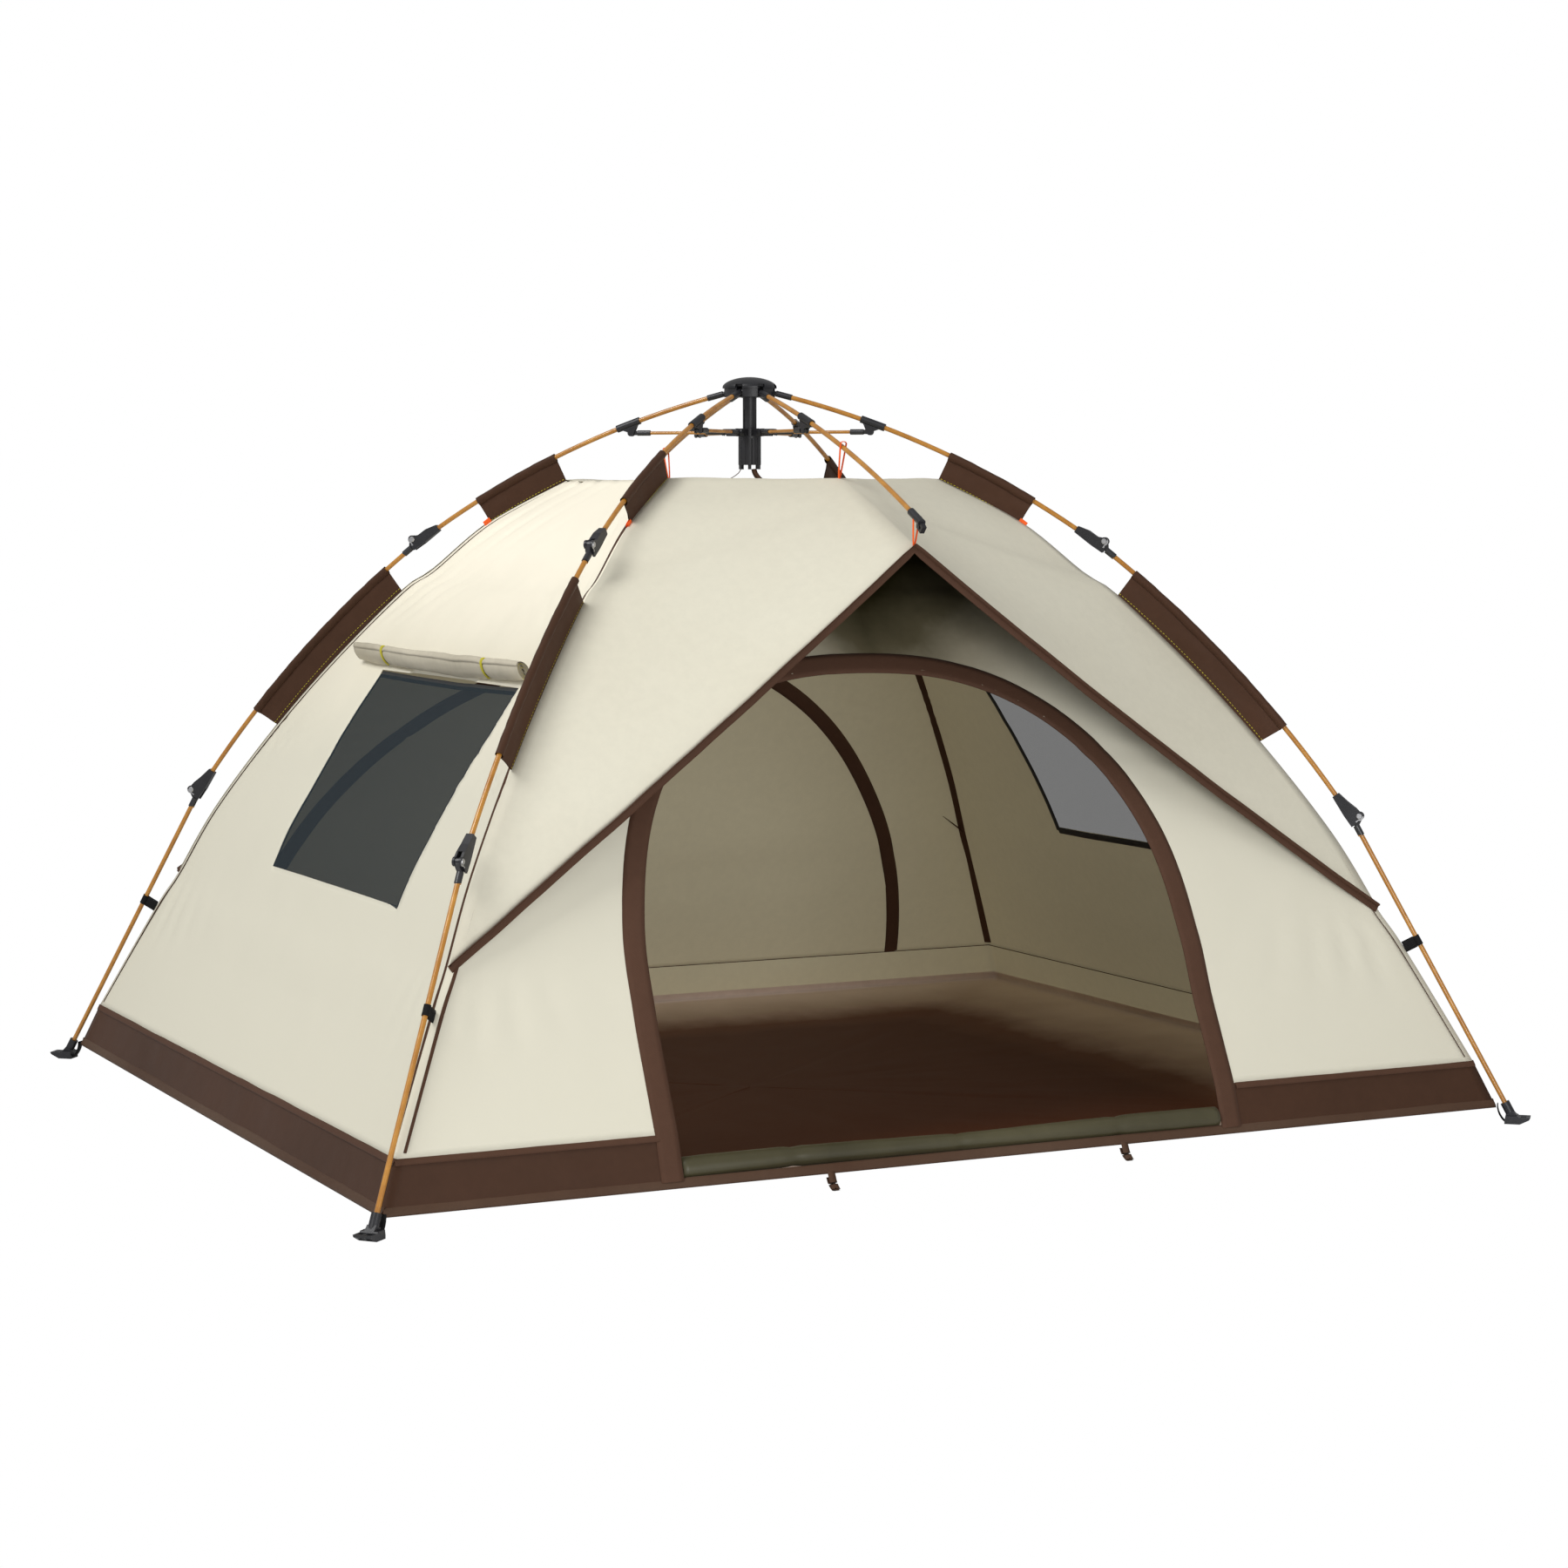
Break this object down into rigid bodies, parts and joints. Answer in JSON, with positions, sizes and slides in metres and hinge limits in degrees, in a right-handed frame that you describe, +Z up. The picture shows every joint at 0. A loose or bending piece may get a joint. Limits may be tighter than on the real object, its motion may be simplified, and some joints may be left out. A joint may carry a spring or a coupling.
{
  "type": "dome tent",
  "caption": "Automatic dome tent with an outside umbrella frame of bowed golden poles, cream canopy with two awnings, brown tub floor, arched doorway and side windows.",
  "frame": {"origin": "centre of the bounding box at ground level, straight under the hub", "axes": "+X to the right seen from the doorway, +Y from the doorway into the tent, +Z up"},
  "size_m": [2.1526, 1.8512, 1.3026],
  "materials": {
    "black_plastic": "satin moulded",
    "golden_pole": "pultruded fibreglass, clear coated",
    "black_webbing": "woven webbing",
    "brown_cloth": "coated woven polyester",
    "cream_cloth": "coated woven polyester",
    "grey_mesh": "insect mesh",
    "olive_cloth": "rolled cloth and mesh"
  },
  "bodies": {
    "root": {"tub": "brown_cloth", "roof": "cream_cloth", "wall_left": "cream_cloth", "wall_right": "cream_cloth", "wall_front": "cream_cloth", "wall_back": "cream_cloth", "awning_front": "cream_cloth", "awning_back": "cream_cloth", "pole_sleeves": "brown_cloth", "door_roll": "olive_cloth", "window_left": "grey_mesh", "window_right": "grey_mesh", "roof_ties": "brown_cloth"},
    "hub": {"hub_cap": "black_plastic", "hub_crown": "black_plastic", "column": "black_plastic"},
    "runner": {"runner": "black_plastic", "runner_sleeve": "black_plastic"},
    "rib_fl": {"rib_fl": "golden_pole", "rib_fittings_fl": "black_plastic", "upper_elbow_fl": "black_plastic"},
    "stretcher_fl": {"stretcher_fl": "golden_pole"},
    "rib_fr": {"rib_fr": "golden_pole", "rib_fittings_fr": "black_plastic", "upper_elbow_fr": "black_plastic"},
    "stretcher_fr": {"stretcher_fr": "golden_pole"},
    "rib_bl": {"rib_bl": "golden_pole", "rib_fittings_bl": "black_plastic", "upper_elbow_bl": "black_plastic"},
    "stretcher_bl": {"stretcher_bl": "golden_pole"},
    "rib_br": {"rib_br": "golden_pole", "rib_fittings_br": "black_plastic", "upper_elbow_br": "black_plastic"},
    "stretcher_br": {"stretcher_br": "golden_pole"},
    "rib_front": {"rib_front": "golden_pole", "rib_fittings_front": "black_plastic"},
    "stretcher_front": {"stretcher_front": "golden_pole"},
    "rib_back": {"rib_back": "golden_pole", "rib_fittings_back": "black_plastic"},
    "stretcher_back": {"stretcher_back": "golden_pole"},
    "mid_fl": {"mid_pole_fl": "golden_pole", "lower_elbow_fl": "black_plastic"},
    "lower_fl": {"lower_pole_fl": "golden_pole", "foot_fl": "black_plastic", "strap_fl": "black_webbing"},
    "mid_fr": {"mid_pole_fr": "golden_pole", "lower_elbow_fr": "black_plastic"},
    "lower_fr": {"lower_pole_fr": "golden_pole", "foot_fr": "black_plastic", "strap_fr": "black_webbing"},
    "mid_bl": {"mid_pole_bl": "golden_pole", "lower_elbow_bl": "black_plastic"},
    "lower_bl": {"lower_pole_bl": "golden_pole", "foot_bl": "black_plastic", "strap_bl": "black_webbing"},
    "mid_br": {"mid_pole_br": "golden_pole", "lower_elbow_br": "black_plastic"},
    "lower_br": {"lower_pole_br": "golden_pole", "foot_br": "black_plastic", "strap_br": "black_webbing"}
  },
  "joints": [
    {"name": "frame_fold", "type": "slide", "parent": "root", "child": "hub", "axis": [0, 0, -1], "range_m": [0, 0.54], "deforming": ["roof", "wall_left", "wall_right", "wall_front", "wall_back", "awning_front", "awning_back", "pole_sleeves", "door_roll", "window_left", "window_right", "roof_ties"]},
    {"name": "runner_slide", "type": "slide", "parent": "hub", "child": "runner", "axis": [0, 0, -1], "range_m": [-0.001, 0.3026]},
    {"name": "rib_fold_fl", "type": "hinge", "parent": "hub", "child": "rib_fl", "pos_m": [-0.02885, -0.02473, 1.27562], "axis": [0.6508, -0.7593, 0], "range_deg": [-0.3, 64]},
    {"name": "stretcher_fold_fl", "type": "hinge", "parent": "rib_fl", "child": "stretcher_fl", "pos_m": [-0.17005, -0.14575, 1.20284], "axis": [-0.6508, 0.7593, 0], "range_deg": [-0.3, 151]},
    {"name": "rib_fold_fr", "type": "hinge", "parent": "hub", "child": "rib_fr", "pos_m": [0.02885, -0.02473, 1.27562], "axis": [0.6508, 0.7593, 0], "range_deg": [-0.3, 64]},
    {"name": "stretcher_fold_fr", "type": "hinge", "parent": "rib_fr", "child": "stretcher_fr", "pos_m": [0.17005, -0.14575, 1.20284], "axis": [-0.6508, -0.7593, 0], "range_deg": [-0.3, 151]},
    {"name": "rib_fold_bl", "type": "hinge", "parent": "hub", "child": "rib_bl", "pos_m": [-0.02885, 0.02473, 1.27562], "axis": [-0.6508, -0.7593, 0], "range_deg": [-0.3, 64]},
    {"name": "stretcher_fold_bl", "type": "hinge", "parent": "rib_bl", "child": "stretcher_bl", "pos_m": [-0.17005, 0.14575, 1.20284], "axis": [0.6508, 0.7593, 0], "range_deg": [-0.3, 151]},
    {"name": "rib_fold_br", "type": "hinge", "parent": "hub", "child": "rib_br", "pos_m": [0.02885, 0.02473, 1.27562], "axis": [-0.6508, 0.7593, 0], "range_deg": [-0.3, 64]},
    {"name": "stretcher_fold_br", "type": "hinge", "parent": "rib_br", "child": "stretcher_br", "pos_m": [0.17005, 0.14575, 1.20284], "axis": [0.6508, -0.7593, 0], "range_deg": [-0.3, 151]},
    {"name": "rib_fold_front", "type": "hinge", "parent": "hub", "child": "rib_front", "pos_m": [0, -0.038, 1.27562], "axis": [1, 0, 0], "range_deg": [-0.3, 64]},
    {"name": "stretcher_fold_front", "type": "hinge", "parent": "rib_front", "child": "stretcher_front", "pos_m": [0, -0.22396, 1.20284], "axis": [-1, 0, 0], "range_deg": [-0.3, 151]},
    {"name": "rib_fold_back", "type": "hinge", "parent": "hub", "child": "rib_back", "pos_m": [0, 0.038, 1.27562], "axis": [-1, 0, 0], "range_deg": [-0.3, 64]},
    {"name": "stretcher_fold_back", "type": "hinge", "parent": "rib_back", "child": "stretcher_back", "pos_m": [0, 0.22396, 1.20284], "axis": [1, 0, 0], "range_deg": [-0.3, 151]},
    {"name": "upper_elbow_fold_fl", "type": "hinge", "parent": "rib_fl", "child": "mid_fl", "pos_m": [-0.49379, -0.42323, 1.00776], "axis": [-0.6508, 0.7593, 0], "range_deg": [-0.3, 180.5]},
    {"name": "upper_elbow_fold_fr", "type": "hinge", "parent": "rib_fr", "child": "mid_fr", "pos_m": [0.49379, -0.42323, 1.00776], "axis": [-0.6508, -0.7593, 0], "range_deg": [-0.3, 180.5]},
    {"name": "upper_elbow_fold_bl", "type": "hinge", "parent": "rib_bl", "child": "mid_bl", "pos_m": [-0.49379, 0.42323, 1.00776], "axis": [0.6508, 0.7593, 0], "range_deg": [-0.3, 180.5]},
    {"name": "upper_elbow_fold_br", "type": "hinge", "parent": "rib_br", "child": "mid_br", "pos_m": [0.49379, 0.42323, 1.00776], "axis": [0.6508, -0.7593, 0], "range_deg": [-0.3, 180.5]},
    {"name": "lower_elbow_fold_fl", "type": "hinge", "parent": "mid_fl", "child": "lower_fl", "pos_m": [-0.83779, -0.71808, 0.53016], "axis": [-0.6659, 0.7455, -0.0283], "range_deg": [0, 195]},
    {"name": "lower_elbow_fold_fr", "type": "hinge", "parent": "mid_fr", "child": "lower_fr", "pos_m": [0.83779, -0.71808, 0.53016], "axis": [-0.6659, -0.7455, 0.0283], "range_deg": [0, 195]},
    {"name": "lower_elbow_fold_bl", "type": "hinge", "parent": "mid_bl", "child": "lower_bl", "pos_m": [-0.83779, 0.71808, 0.53016], "axis": [0.6659, 0.7455, 0.0283], "range_deg": [0, 195]},
    {"name": "lower_elbow_fold_br", "type": "hinge", "parent": "mid_br", "child": "lower_br", "pos_m": [0.83779, 0.71808, 0.53016], "axis": [0.6659, -0.7455, -0.0283], "range_deg": [0, 195]}
  ],
  "couplings": [
    {"joint": "runner_slide", "follows": "frame_fold", "ratio": 0.5567},
    {"joint": "rib_fold_fl", "follows": "frame_fold", "rad_per_m": 2.0556},
    {"joint": "stretcher_fold_fl", "follows": "frame_fold", "rad_per_m": 4.8675},
    {"joint": "rib_fold_fr", "follows": "frame_fold", "rad_per_m": 2.0556},
    {"joint": "stretcher_fold_fr", "follows": "frame_fold", "rad_per_m": 4.8675},
    {"joint": "rib_fold_bl", "follows": "frame_fold", "rad_per_m": 2.0556},
    {"joint": "stretcher_fold_bl", "follows": "frame_fold", "rad_per_m": 4.8675},
    {"joint": "rib_fold_br", "follows": "frame_fold", "rad_per_m": 2.0556},
    {"joint": "stretcher_fold_br", "follows": "frame_fold", "rad_per_m": 4.8675},
    {"joint": "rib_fold_front", "follows": "frame_fold", "rad_per_m": 2.0556},
    {"joint": "stretcher_fold_front", "follows": "frame_fold", "rad_per_m": 4.8675},
    {"joint": "rib_fold_back", "follows": "frame_fold", "rad_per_m": 2.0556},
    {"joint": "stretcher_fold_back", "follows": "frame_fold", "rad_per_m": 4.8675},
    {"joint": "upper_elbow_fold_fl", "follows": "frame_fold", "rad_per_m": 5.8178},
    {"joint": "upper_elbow_fold_fr", "follows": "frame_fold", "rad_per_m": 5.8178},
    {"joint": "upper_elbow_fold_bl", "follows": "frame_fold", "rad_per_m": 5.8178},
    {"joint": "upper_elbow_fold_br", "follows": "frame_fold", "rad_per_m": 5.8178}
  ]
}
